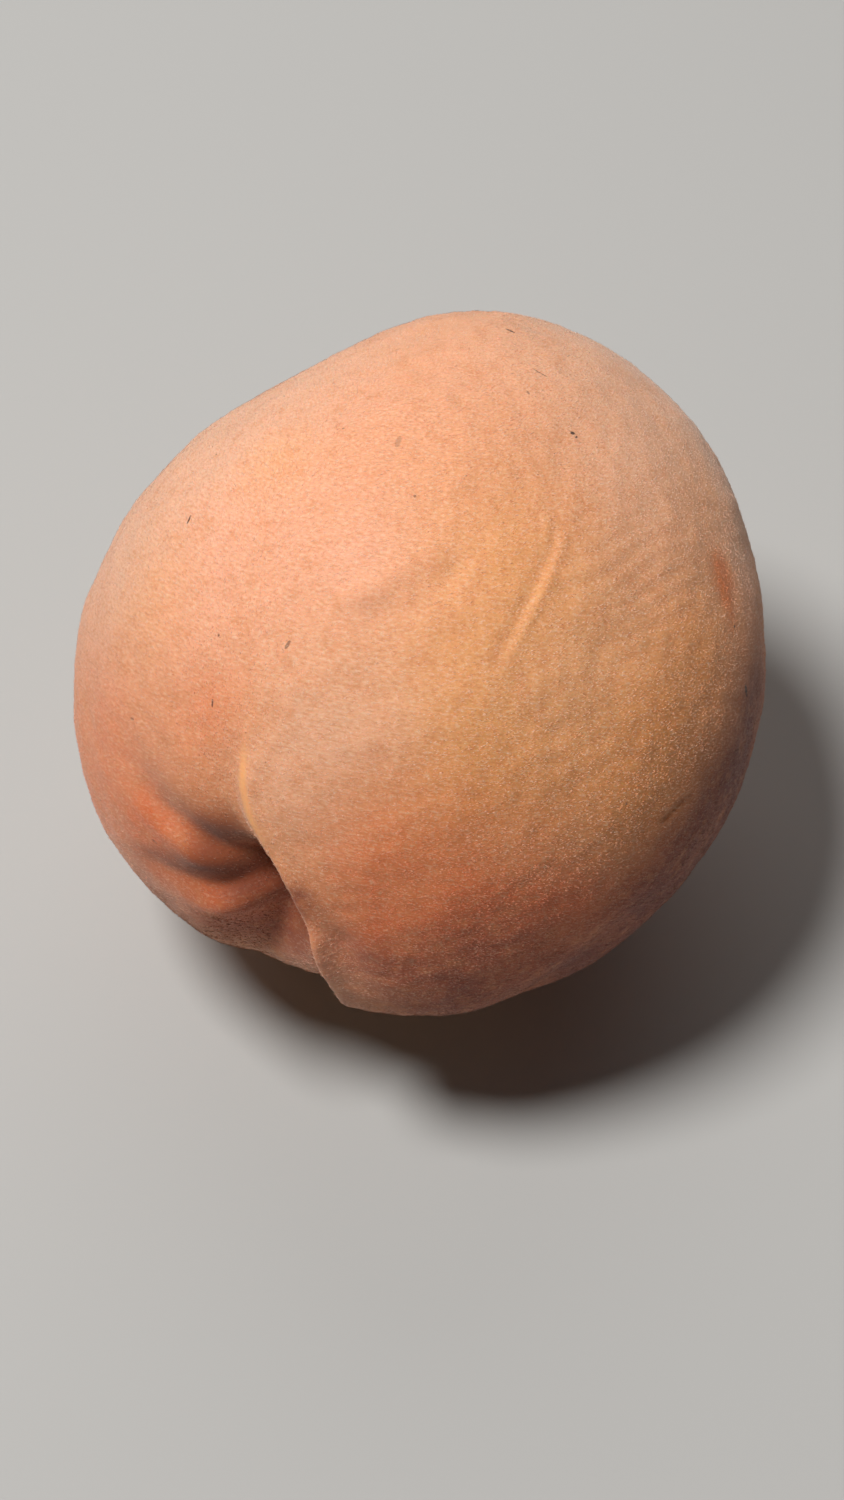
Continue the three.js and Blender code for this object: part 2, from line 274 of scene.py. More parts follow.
def crowded_angles(low, high, count, crowds):
    """Angles whose spacing narrows round each crowd: equal steps of the sum of the angle
    and strength * spread * atan((angle - at) / spread)."""
    fine = np.linspace(low, high, 20001)
    reach = fine.copy()
    for at, spread, strength in crowds:
        reach += strength * spread * np.arctan((fine - at) / spread)
    return np.interp(np.linspace(reach[0], reach[-1], count + 1), reach, fine)


def skin_grid():
    """Rows of points round the stem axis, with one point at each pole, in metres where the
    fruit lies, pressed flat where it rests."""
    polars = crowded_angles(0, 180, SKIN_RINGS, RING_CROWDS)[1:-1]
    azimuths = crowded_angles(-180, 180, SKIN_COLUMNS, COLUMN_CROWDS)[:-1]
    polar, azimuth = np.meshgrid(polars, azimuths, indexing="ij")
    polar = np.concatenate([[0], polar.ravel(), [180]])
    azimuth = np.concatenate([[0], azimuth.ravel(), [0]])
    points = body_points(polar, azimuth, skin_relief) @ resting_axes()
    low, high = points.min(axis=0), points.max(axis=0)
    floor = low[2] + REST_DEPTH
    middle = np.array([(low[0] + high[0]) / 2, (low[1] + high[1]) / 2, floor])
    points = (points - middle) * MM
    points[:, 2] = np.maximum(points[:, 2], 0)
    return points, polar, azimuth, -middle * MM


def grid_faces(rings, columns):
    """Quads between neighbouring rings, and a fan of triangles at each pole, wound so
    that they face outwards."""
    ring, column = np.meshgrid(np.arange(rings - 1), np.arange(columns), indexing="ij")
    after = (column + 1) % columns
    quads = np.stack([
        1 + ring * columns + column,
        1 + (ring + 1) * columns + column,
        1 + (ring + 1) * columns + after,
        1 + ring * columns + after,
    ], axis=-1).reshape(-1, 4)
    column = np.arange(columns)
    after = (column + 1) % columns
    last = 1 + rings * columns
    top = np.stack([np.zeros(columns, int), 1 + column, 1 + after], axis=-1)
    base = 1 + (rings - 1) * columns
    bottom = np.stack([base + column, np.full(columns, last), base + after], axis=-1)
    return quads, np.concatenate([top, bottom])


def new_object(name, points, loops, sizes):
    """A mesh object at the origin from points, the corners of its faces and their counts."""
    mesh = bpy.data.meshes.new(name)
    mesh.vertices.add(len(points))
    mesh.vertices.foreach_set("co", points.astype(np.float32).ravel())
    mesh.loops.add(len(loops))
    mesh.loops.foreach_set("vertex_index", loops.astype(np.int32))
    mesh.polygons.add(len(sizes))
    starts = np.concatenate([[0], np.cumsum(sizes)[:-1]])
    mesh.polygons.foreach_set("loop_start", starts.astype(np.int32))
    mesh.polygons.foreach_set("use_smooth", np.ones(len(sizes), bool))
    mesh.update(calc_edges=True)
    mesh.validate()
    made = bpy.data.objects.new(name, mesh)
    bpy.context.collection.objects.link(made)
    return made


skin_points, skin_polar, skin_azimuth, fruit_middle = skin_grid()
quads, fans = grid_faces(SKIN_RINGS - 1, SKIN_COLUMNS)
skin = new_object(
    "peach_skin",
    skin_points,
    np.concatenate([quads.ravel(), fans.ravel()]),
    np.concatenate([np.full(len(quads), 4), np.full(len(fans), 3)]),
)

# Where each colour of the ripe skin lies, in the order in which they are laid, the wine patches
# also carrying painted shade and the bloom patches painted sheen: the polar angle, azimuth,
# reach in millimetres and strength of each round patch.
COLOUR_PATCHES = {
    "pink": [
        (122, 20, 17, 0.8), (134, 12, 14, 0.5), (108, 8, 11, 0.6), (120, -24, 9, 0.7),
        (150, 60, 26, 0.6), (157, -60, 12, 0.3), (100, 70, 26, 0.6), (118, -98, 12, 0.5),
        (60, -160, 12, 0.5),
    ],
    "gold": [
        (101, -45, 13, 0.6), (91, -42, 9, 0.5), (134, 8, 5, 0.4), (122, -48, 9, 0.4),
        (104, -66, 13, 0.6), (94, -78, 9, 0.4), (83, -30, 6, 0.3), (80, 160, 22, 0.8),
        (120, 150, 20, 0.5), (104, 25, 8, 0.4),
    ],
    # Bloom: a pale pink tone of the skin, which along the lit rims on the left and upper right is
    # painted sheen.
    "bloom_and_sheen": [
        (94, -17, 8, 0.45), (98, -26, 6, 0.2), (88, -22, 7, 0.3), (104, -50, 7, 0.15),
        (103, -64, 8, 0.2), (116, -76, 9, 0.3), (140, -132, 15, 1.0), (138, -108, 9, 0.6),
        (122, -150, 10, 0.9), (125, -114, 7, 0.8), (158, -140, 13, 0.8), (100, 60, 13, 1.0),
        (104, 38, 9, 0.8), (118, 54, 12, 0.9), (132, 66, 14, 0.8), (148, 60, 12, 0.5),
        (88, 34, 7, 0.6), (70, 25, 4, 0.6), (60, 42, 5, 0.6), (53, 43, 5, 0.9),
        (50, -1, 4, 1.0), (46, 2, 4, 1.0), (43, 6, 4, 1.0), (37, 5, 4, 0.9), (28, 14, 7, 0.9),
        (74, 34, 7, 0.4), (84, -6, 6, 0.3), (76, -12, 7, 0.35), (60, 120, 16, 0.5),
        (142, 36, 11, 0.5), (128, 33, 8, 0.5), (118, 33, 7, 0.4), (79, 18, 7, 0.35),
        (70, 22, 4, 0.5), (92, -84, 8, 0.25), (104, -92, 8, 0.3), (126, -92, 9, 0.3),
        (140, -86, 9, 0.3),
    ],
    "amber": [
        (84, -74, 8, 0.7), (93, -79, 9, 0.7), (103, -84, 9, 0.6), (104, -94, 7, 0.5),
        (115, -93, 7, 0.4), (128, -104, 7, 0.4), (60, -34, 5, 0.3), (46, -31, 4, 0.5),
    ],
    "ripe": [
        (67, -22, 9, 0.7), (60, -34, 8, 0.9), (58, -48, 8, 0.9), (76, -44, 8, 0.3),
        (44, -35, 9, 0.8), (47, -52, 8, 0.8), (78, -28, 7, 0.35), (56, -16, 6, 0.6),
        (69, 25, 5, 0.9), (65, 16, 4, 0.8), (54, 20, 6, 0.9), (56, 9, 4.5, 0.9),
        (66, -74, 7, 0.9), (62, 60, 18, 0.7), (66, -108, 18, 0.8), (88, -112, 12, 0.5),
        (46, -90, 20, 0.8), (86, 8, 6, 0.3),
        (93, 2, 4, 0.25), (60, -140, 20, 0.5), (60, 33, 5, 0.7), (80, 30, 8, 0.4),
        (54, -38, 7, 0.9), (55, -52, 7, 0.8), (57, -63, 6, 0.7), (55, -24, 6, 0.7),
        (43, 19, 5, 0.9), (53, 14, 5, 0.8), (52, -13, 5, 0.7), (57, -41, 6, 1.0),
        (49, 24, 5, 0.8), (62, 22, 5, 0.7), (69, 12, 4, 0.6), (60, 29, 4, 0.5),
    ],
    # Wine: the fruit's deep red blush, and also painted shade along the lower right rim, beside the
    # lip and low near the table.
    "wine_blush_and_shade": [
        (46, -68, 7, 0.8), (52, -84, 8, 0.9), (62, -92, 9, 0.9), (72, -96, 8, 0.9),
        (81, -99, 8, 0.9), (89, -102, 7, 0.8), (96, -107, 7, 0.6), (54, -50, 5, 0.3),
        (68, -77, 6, 0.6), (75, -83, 5, 0.4), (65, -66, 5, 0.35), (57, -40, 5, 0.4),
        (90, -84, 4, 0.2), (62, -80, 5, 0.6), (57, -66, 4, 0.5), (34, -70, 16, 0.7),
        (22, -30, 12, 0.7), (42, 52, 12, 0.5), (42, 19, 4, 0.6), (42, -30, 8, 0.6),
        (54, -28, 5, 0.4), (50, -11, 4, 0.5), (72, -106, 12, 0.5), (62.5, -1.5, 1.8, 0.8),
        (60, -1, 1.8, 0.7), (53, 17, 4.5, 0.3), (57, 16, 3.5, 0.3), (44, 29, 5, 0.45),
        (66, 17.5, 2.5, 0.35),
    ],
    "russet": [
        (119.5, -99.5, 1.8, 1.0), (117, -98.5, 1.6, 1.0), (114.5, -98, 1.3, 0.9),
        (112, -97.8, 0.9, 0.7), (116.5, -101, 1.1, 0.5), (109.5, -97, 0.9, 0.4),
    ],
}


def patch_strength(toward, patches):
    """How far a place lies in a set of patches: 1 less the product of what each leaves."""
    left = np.ones(len(toward))
    for polar, azimuth, reach, strength in patches:
        middle = direction(polar, azimuth + lip_azimuth(polar))
        away = FOLD_RADIUS * np.linalg.norm(toward - middle, axis=-1)
        left *= 1 - strength * bell(away, reach)
    return 1 - left


# Where the skin is sunk or rubbed: painted shade in the gap under the lip and at the bottoms
# of the folds, whose ways are given as the folds' own are, and the rubbed strip along the lip.
GAP_WIDTH, GAP_ENDS_AT, GAP_ENDS_EASE = 4.2, 48.0, 1.5
LIP_SHADE_WIDTH = 0.3
SHADE_START_WIDTH = 2
PAINTED_FOLD_SHADE_WAYS = [
    {"way": [(73, 0), (70.5, 9), (77, 22)], "depth": 0.55, "width": 3.0},
    {"way": [(70.5, 9), (66.5, 15), (63, 18)], "depth": 0.75, "width": 2.5},
    {"way": [(62, 10), (61, 27), (58, 48)], "depth": 0.65, "width": 2.0},
    {"way": [(68, 0), (62.5, 6), (56, 7)], "depth": 0.4, "width": 2.6},
    {"way": [(79, 0.5), (75, 4), (71, 9)], "depth": 0.3, "width": 4.0},
    {"way": [(58.5, 20), (56, 16), (51.5, 11)], "depth": 0.75, "width": 2.1},
    {"way": [(82, 12), (77, 18), (69, 26)], "depth": 0.18, "width": 4.0},
    {"way": [(58, 22), (56, 29), (53, 38)], "depth": 0.35, "width": 2.2},
    {"way": [(61, 1), (47, 10.5), (36, 21)], "depth": 0.8, "width": 2.4},
]
# The rubbed strip is painted lighter for its bare skin and as a painted highlight on the lit edge of
# the lip.
LIP_STRIP = {"polar": 79, "reach": 6.5, "away": 2.2, "width": 0.5, "strength": 1.7}
HOLLOW_REACH = 16


def skin_masks(polar, azimuth):
    """The masks that the skin's colours follow: the patches, painted shade in the gap under the
    lip and in the fold bottoms, the rubbed strip along the lip, and the hollow of the stem."""
    toward = direction(polar, azimuth + lip_azimuth(polar))
    masks = {name: patch_strength(toward, spots) for name, spots in COLOUR_PATCHES.items()}
    depth, bead, arc, near = crease(polar, azimuth, np.full(len(polar), FOLD_RADIUS))
    # Painted shade in the gap under the lip, then along the bottoms of the folds.
    masks["painted_gap_shade"] = near * (1 - fall_at(polar, GAP_ENDS_AT, GAP_ENDS_EASE))
    masks["painted_gap_shade"] *= bell(arc, np.where(arc > 0, GAP_WIDTH, LIP_SHADE_WIDTH))
    painted_fold_shade = np.zeros(len(polar))
    for shade in PAINTED_FOLD_SHADE_WAYS:
        painted_fold_shade += string_depth(toward, **shade)
    masks["painted_fold_shade"] = np.clip(painted_fold_shade * np.clip(arc / SHADE_START_WIDTH + 0.5, 0, 1), 0, 1)
    strip = LIP_STRIP["strength"] * bell(polar - LIP_STRIP["polar"], LIP_STRIP["reach"])
    masks["lip"] = np.clip(strip * bell(arc + LIP_STRIP["away"], LIP_STRIP["width"]), 0, 1)
    masks["hollow"] = bell(polar, HOLLOW_REACH)
    return masks


skin_shades = skin_masks(skin_polar, skin_azimuth)


def add_masks(made, masks):
    """Stores each mask as a number at every point of the mesh."""
    for name, values in masks.items():
        layer = made.data.attributes.new(name, "FLOAT", "POINT")
        layer.data.foreach_set("value", values.astype(np.float32))


add_masks(skin, skin_shades)


def new_group(name, outputs):
    """An empty shader group with the named outputs and its output node."""
    group = bpy.data.node_groups.new(name, "ShaderNodeTree")
    for label, kind in outputs:
        group.interface.new_socket(label, in_out="OUTPUT", socket_type=kind)
    return group, group.nodes.new("NodeGroupOutput")


def connect(tree, value, socket):
    """Links a socket's value, or sets it where the value is a plain number or colour."""
    if isinstance(value, bpy.types.NodeSocket):
        tree.links.new(value, socket)
    elif isinstance(value, tuple):
        socket.default_value = (*value, 1) if len(value) == 3 else value
    else:
        socket.default_value = value


def math_node(tree, kind, first, second=0.0, clamp=False):
    """One operation on two numbers."""
    node = tree.nodes.new("ShaderNodeMath")
    node.operation = kind
    node.use_clamp = clamp
    connect(tree, first, node.inputs[0])
    connect(tree, second, node.inputs[1])
    return node.outputs[0]


def times(tree, first, second):
    """One number times another."""
    return math_node(tree, "MULTIPLY", first, second)


def largest(tree, *values):
    """The largest of some numbers."""
    found = values[0]
    for value in values[1:]:
        found = math_node(tree, "MAXIMUM", found, value)
    return found


def blend(tree, share, first, second):
    """A colour between two others by a share."""
    node = tree.nodes.new("ShaderNodeMix")
    node.data_type = "RGBA"
    connect(tree, share, node.inputs[0])
    connect(tree, first, node.inputs[6])
    connect(tree, second, node.inputs[7])
    return node.outputs[2]


def noise(tree, place, scale, detail=2.0, roughness=0.6):
    """Soft noise from 0 to 1 at a place, with about scale waves to each unit of length."""
    node = tree.nodes.new("ShaderNodeTexNoise")
    node.inputs["Scale"].default_value = scale
    node.inputs["Detail"].default_value = detail
    node.inputs["Roughness"].default_value = roughness
    tree.links.new(place, node.inputs["Vector"])
    return node.outputs["Fac"]


def ramp(tree, value, low, high):
    """A smooth change from 0 at low to 1 at high."""
    node = tree.nodes.new("ShaderNodeMapRange")
    node.interpolation_type = "SMOOTHSTEP"
    connect(tree, value, node.inputs["Value"])
    node.inputs["From Min"].default_value = low
    node.inputs["From Max"].default_value = high
    return node.outputs["Result"]


def mask(tree, name):
    """A number stored on the mesh."""
    node = tree.nodes.new("ShaderNodeAttribute")
    node.attribute_name = name
    return node.outputs["Fac"]


APRICOT = (0.79, 0.345, 0.155)
DEEP_APRICOT = (0.72, 0.30, 0.12)
PINK = (0.84, 0.40, 0.25)
GOLD = (0.83, 0.37, 0.115)
# Bloom is partly a pale tone of the skin and partly painted sheen on the lit rims.
BLOOM_AND_SHEEN = (0.80, 0.45, 0.29)
AMBER = (0.92, 0.36, 0.10)
RIPE = (0.76, 0.185, 0.06)
# Wine is both a deep red blush and painted shade.
WINE_BLUSH_AND_SHADE = (0.21, 0.042, 0.026)
# Painted shade: near black in the gap under the lip, and a dusk at the bottoms of the folds.
PAINTED_SHADE_UNDER_LIP = (0.05, 0.01, 0.008)
FOLD_SHADE_COLOUR = (0.13, 0.03, 0.012)
FRECKLE = (0.84, 0.52, 0.32)
RUSSET = (0.69, 0.175, 0.035)
BLOTCH = (0.66, 0.24, 0.09)
GRAIN = (0.46, 0.17, 0.07)
SPECK = (0.07, 0.035, 0.025)
# Rubbed: bare skin, lighter partly as a painted highlight.
RUBBED_AND_HIGHLIGHT = (0.92, 0.42, 0.17)
OLIVE = (0.36, 0.27, 0.10)
PATCH_TINTS = {
    "pink": PINK, "gold": GOLD, "bloom_and_sheen": BLOOM_AND_SHEEN, "amber": AMBER,
    "ripe": RIPE, "wine_blush_and_shade": WINE_BLUSH_AND_SHADE, "russet": RUSSET,
}
PATCH_RAGGEDNESS = 1.54


def tinted(tree, colour, tint, share, strength):
    """A colour with a tint laid over it where the share is high."""
    return blend(tree, times(tree, share, strength), colour, tint)


def peach_colour_group():
    """The colour of the skin at any place, which the fuzz takes part of too: apricot with
    the patches laid over it, whose edges a noise breaks up, faint blotches and freckles,
    painted shade in the folds, near black painted shade under the lip, and olive in the
    stem's hollow."""
    tree, out = new_group("peach_colour", [("Color", "NodeSocketColor")])
    place = tree.nodes.new("ShaderNodeTexCoord").outputs["Object"]
    broad = noise(tree, place, scale=130, detail=4)
    fine = noise(tree, place, scale=700, detail=3)
    ragged = math_node(tree, "ADD", times(tree, broad, 0.7), times(tree, fine, 0.3))
    wander = times(tree, math_node(tree, "SUBTRACT", ragged, 0.5), PATCH_RAGGEDNESS)

    colour = blend(tree, ramp(tree, fine, 0.35, 0.7), APRICOT, DEEP_APRICOT)
    for name, tint in PATCH_TINTS.items():
        amount = mask(tree, name)
        amount = math_node(tree, "ADD", amount, times(tree, wander, amount), clamp=True)
        colour = blend(tree, amount, colour, tint)
    grain = noise(tree, place, scale=2600)
    blotch = noise(tree, place, scale=420, detail=4, roughness=0.65)
    colour = tinted(tree, colour, BLOTCH, ramp(tree, blotch, 0.48, 0.7), 0.4)
    colour = tinted(tree, colour, FRECKLE, ramp(tree, grain, 0.55, 0.72), 0.3)
    colour = tinted(tree, colour, GRAIN, ramp(tree, grain, 0.48, 0.3), 0.16)
    # Painted shade: dark at the bottoms of the folds and near black in the gap under the lip.
    colour = blend(tree, mask(tree, "painted_fold_shade"), colour, FOLD_SHADE_COLOUR)
    colour = blend(tree, mask(tree, "painted_gap_shade"), colour, PAINTED_SHADE_UNDER_LIP)
    colour = blend(tree, mask(tree, "hollow"), colour, OLIVE)
    tree.links.new(colour, out.inputs["Color"])
    return tree


def plain_material(name, colour, roughness):
    """A material of one colour and roughness."""
    material = bpy.data.materials.new(name)
    material.use_nodes = True
    shader = material.node_tree.nodes["Principled BSDF"]
    shader.inputs["Base Color"].default_value = (*colour, 1)
    shader.inputs["Roughness"].default_value = roughness
    return material


peach_colour = peach_colour_group()

# The dark specks: each has the places of its two ends (polar angle, azimuth), about half
# its width in millimetres, and how strongly it covers the skin.
SPECKS = [
    {"ends": [(172.9, -105), (171.1, -103.8)], "width": 0.14, "strength": 1.0},
    {"ends": [(161.5, -78.5), (158.8, -81.5)], "width": 0.07, "strength": 0.9},
    {"ends": [(146.8, -74.6), (146.7, -75.2)], "width": 0.22, "strength": 1.0},
    {"ends": [(146.1, -75.2), (145.8, -75.8)], "width": 0.16, "strength": 1.0},
    {"ends": [(156.2, -67.3), (155.4, -67.3)], "width": 0.14, "strength": 0.5},
    {"ends": [(103.9, -9.2), (104.9, -9.9)], "width": 0.2, "strength": 0.6},
    {"ends": [(118, 19.9), (119.6, 19.9)], "width": 0.12, "strength": 1.0},
    {"ends": [(146.8, 31.9), (146.4, 32.3)], "width": 0.13, "strength": 0.7},
    {"ends": [(144.2, -4.7), (143.9, -5)], "width": 0.12, "strength": 0.6},
    {"ends": [(144.2, -23.1), (141.7, -23.1)], "width": 0.3, "strength": 0.3},
    {"ends": [(130.9, 27.8), (130.6, 27.6)], "width": 0.12, "strength": 0.6},
    {"ends": [(132.5, -29.8), (132.2, -30)], "width": 0.15, "strength": 0.6},
    {"ends": [(103.1, 3.8), (102.9, 3.9)], "width": 0.14, "strength": 0.7},
    {"ends": [(92.6, 3.8), (91.9, 3.9)], "width": 0.12, "strength": 0.8},
    {"ends": [(84.8, 23.2), (84.8, 22.3)], "width": 0.14, "strength": 0.5},
    {"ends": [(63.9, 30.8), (63.4, 29.8)], "width": 0.14, "strength": 0.5},
    {"ends": [(109.7, -97.6), (109.4, -97.9)], "width": 0.15, "strength": 0.9},
    {"ends": [(99.6, -99.1), (97.5, -100.3)], "width": 0.3, "strength": 1.0},
    {"ends": [(84.2, -66.4), (84, -66.6)], "width": 0.14, "strength": 0.7},
    {"ends": [(96, 140), (95, 141)], "width": 0.2, "strength": 0.8},
    {"ends": [(120, 118), (121, 119)], "width": 0.15, "strength": 0.7},
    {"ends": [(66, -160), (67.5, -159)], "width": 0.2, "strength": 0.8},
]
SPECK_ENDS_AT, SPECK_FULL_AT = 1.9, 1.1


def place_on_skin(polar, azimuth):
    """The skin's nearest point to two angles, in metres."""
    across = (skin_azimuth - azimuth + 180) % 360 - 180
    away = np.hypot(skin_polar - polar, across * math.sin(math.radians(polar)))
    return skin_points[np.argmin(away)]


def distance_node(tree, place, middle):
    """How far a place lies from a fixed point, in metres."""
    node = tree.nodes.new("ShaderNodeVectorMath")
    node.operation = "DISTANCE"
    tree.links.new(place, node.inputs[0])
    node.inputs[1].default_value = middle
    return node.outputs["Value"]


def speck_share(tree, place):
    """How far a place lies in a speck. Each speck is the ellipse whose two ends are its
    foci: half the way over both ends, squared, less the half length squared, is the
    square of the width that reaches the place. A noise makes the edge ragged."""
    rough = noise(tree, place, scale=4200)
    share = 0.0
    for speck in SPECKS:
        first, last = (place_on_skin(*end) for end in speck["ends"])
        ways = (distance_node(tree, place, end) for end in (first, last))
        half = times(tree, math_node(tree, "ADD", *ways), 0.5)
        half_length = float(np.linalg.norm(last - first)) / 2
        square = math_node(tree, "SUBTRACT", times(tree, half, half), half_length**2)
        reach = math_node(tree, "POWER", largest(tree, square, 0.0), 0.5)
        width = speck["width"] * MM
        ragged = math_node(tree, "ADD", reach, times(tree, rough, width))
        inside = ramp(tree, ragged, SPECK_ENDS_AT * width, SPECK_FULL_AT * width)
        share = largest(tree, share, times(tree, inside, speck["strength"]))
    return share


STREAKS_ROUND, STREAKS_ALONG = 300, 380
STREAK_LIGHT = (0.86, 0.55, 0.36)
STREAK_DARK = (0.60, 0.23, 0.09)


def streak_noise(tree):
    """Noise on the skin's own map, drawn out round the fruit, the way the fuzz lies."""
    layer = tree.nodes.new("ShaderNodeUVMap")
    layer.uv_map = "OFBake"
    stretch = tree.nodes.new("ShaderNodeMapping")
    stretch.inputs["Scale"].default_value = (STREAKS_ROUND, STREAKS_ALONG, 1)
    tree.links.new(layer.outputs["UV"], stretch.inputs["Vector"])
    return noise(tree, stretch.outputs["Vector"], scale=1)


def open_skin_share(tree):
    """Where the streaks show: 1 on the open cheeks, less on red skin, 0 in the folds."""
    # No streaks where the folds and the gap are painted with shade.
    sunk = largest(tree, mask(tree, "painted_fold_shade"), mask(tree, "painted_gap_shade"))
    red = largest(tree, mask(tree, "wine_blush_and_shade"), times(tree, mask(tree, "ripe"), 0.5), mask(tree, "russet"))
    share = math_node(tree, "SUBTRACT", 1.0, sunk)
    return math_node(tree, "SUBTRACT", share, times(tree, red, 0.8), clamp=True)


def skin_material():
    """The skin: the peach's colour with light and dark streaks, a rubbed strip on the lip
    where the fuzz is gone, painted lighter partly as a painted highlight, dark specks, a soft
    uneven roughness, a fine bump of pores and streaks, and light that sinks in a little."""
    material = plain_material("skin", APRICOT, 0.62)
    tree = material.node_tree
    shader = tree.nodes["Principled BSDF"]
    group = tree.nodes.new("ShaderNodeGroup")
    group.node_tree = peach_colour
    place = tree.nodes.new("ShaderNodeTexCoord").outputs["Object"]
    streaks = streak_noise(tree)
    open_skin = open_skin_share(tree)
    light = times(tree, ramp(tree, streaks, 0.5, 0.7), open_skin)
    dark = times(tree, ramp(tree, streaks, 0.5, 0.3), open_skin)
    colour = tinted(tree, group.outputs["Color"], STREAK_LIGHT, light, 0.5)
    colour = tinted(tree, colour, STREAK_DARK, dark, 0.45)
    # The rubbed strip: bare skin, painted lighter partly as a painted highlight.
    colour = blend(tree, mask(tree, "lip"), colour, RUBBED_AND_HIGHLIGHT)
    colour = blend(tree, speck_share(tree, place), colour, SPECK)
    tree.links.new(colour, shader.inputs["Base Color"])

    pores = noise(tree, place, scale=1900, detail=3, roughness=0.7)
    rough = tree.nodes.new("ShaderNodeMapRange")
    rough.inputs["To Min"].default_value = 0.55
    rough.inputs["To Max"].default_value = 0.75
    tree.links.new(pores, rough.inputs["Value"])
    tree.links.new(rough.outputs["Result"], shader.inputs["Roughness"])
    bump = tree.nodes.new("ShaderNodeBump")
    bump.inputs["Strength"].default_value = 0.5
    bump.inputs["Distance"].default_value = 0.0001
    tree.links.new(math_node(tree, "ADD", pores, streaks), bump.inputs["Height"])
    tree.links.new(bump.outputs["Normal"], shader.inputs["Normal"])

    shader.inputs["Subsurface Weight"].default_value = 0.2
    shader.inputs["Subsurface Radius"].default_value = (1.0, 0.35, 0.15)
    shader.inputs["Subsurface Scale"].default_value = 0.0015
    shader.inputs["Specular IOR Level"].default_value = 0.3
    shader.inputs["Sheen Weight"].default_value = 0.14
    shader.inputs["Sheen Roughness"].default_value = 0.45
    shader.inputs["Sheen Tint"].default_value = (1.0, 0.94, 0.88, 1)
    return material


def add_skin_map(made, polar, azimuth):
    """A map of the skin laid out by azimuth across and polar angle up. A face across the
    seam keeps together: its corners at the low end are moved past the high end."""
    corners = np.empty(len(made.data.loops), np.int32)
    made.data.loops.foreach_get("vertex_index", corners)
    across, up = azimuth[corners] / 360 + 0.5, polar[corners] / 180
    starts = np.empty(len(made.data.polygons), np.int32)
    counts = np.empty(len(made.data.polygons), np.int32)
    made.data.polygons.foreach_get("loop_start", starts)
    made.data.polygons.foreach_get("loop_total", counts)
    widest = np.repeat(np.maximum.reduceat(across, starts), counts)
    across = np.where((widest > 0.75) & (across < 0.25), across + 1, across)
    layer = made.data.uv_layers.new(name="OFBake")
    layer.uv.foreach_set("vector", np.stack([across, up], -1).astype(np.float32).ravel())


add_skin_map(skin, skin_polar, skin_azimuth)
skin.data.materials.append(skin_material())
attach(skin, "root")
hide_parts("peach")


# ---------------------------------------------------------------------------------------
# The fuzz: short pale hairs that grow out of the whole skin and lie round the fruit, away
# from the lip. Each hair is a closed three-sided needle with its root sunk in the skin.
# ---------------------------------------------------------------------------------------

FUZZ_TONES = {
    "fuzz_pale": {"hairs": 35000, "paleness": 0.65, "lengths": (0.25, 0.5), "widths": (0.05, 0.085)},
    "fuzz_straw": {"hairs": 45000, "paleness": 0.45, "lengths": (0.3, 0.6), "widths": (0.05, 0.08)},
    "fuzz_soft": {"hairs": 45000, "paleness": 0.3, "lengths": (0.3, 0.6), "widths": (0.04, 0.07)},
    "fuzz_apricot": {"hairs": 45000, "paleness": 0.12, "lengths": (0.3, 0.6), "widths": (0.04, 0.07)},
}
HAIR_FLATNESS = 0.6
HAIR_ROOT = 0.06
HAIR_RISE, HAIR_RISE_SPREAD = 0.22, 0.1
HAIR_TANGLE = 0.22
HAIR_TO_TIP = 0.3
HAIR_TURNS_WITHIN, HAIR_MEETS_WITHIN = 20, 30
BARE_LIP_FROM = 0.3
THINNED_IN_FOLDS = 0.8
PALENESS_LOST_ON_DARK = 0.7
STRAW = (0.90, 0.73, 0.60)


def skin_triangles():
    """The skin's faces as triangles."""
    return np.concatenate([quads[:, [0, 1, 2]], quads[:, [0, 2, 3]], fans])


def hair_roots(count, rng):
    """Places spread evenly over the skin by area: three corners of a triangle for each
    hair, and how much of each corner the place has."""
    triangles = skin_triangles()
    a, b, c = (skin_points[triangles[:, i]] for i in range(3))
    areas = np.linalg.norm(np.cross(b - a, c - a), axis=1)
    picked = triangles[rng.choice(len(triangles), count, p=areas / areas.sum())]
    first, second = rng.random((2, count))
    root = np.sqrt(first)
    return picked, np.stack([1 - root, root * (1 - second), root * second], axis=-1)


def needles(roots, normals, ways, lengths, widths):
    """Needles: three points round each root, sunk by the root's depth, and a tip at the
    end of its way."""
    side = np.cross(normals, ways)
    side /= np.linalg.norm(side, axis=1)[:, None]
    across = np.cross(ways, side) * HAIR_FLATNESS
    foot = roots - ways * HAIR_ROOT * MM
    points = []
    for turn in (0, 120, 240):
        angle = math.radians(turn)
        out = side * math.cos(angle) + across * math.sin(angle)
        points.append(foot + out * widths[:, None] * MM)
    points.append(roots + ways * lengths[:, None] * MM)
    return np.stack(points, axis=1)


skin_normals = np.empty(len(skin_points) * 3)
skin.data.vertex_normals.foreach_get("vector", skin_normals)
skin_normals = skin_normals.reshape(-1, 3)
tip_way = -resting_axes()[2]


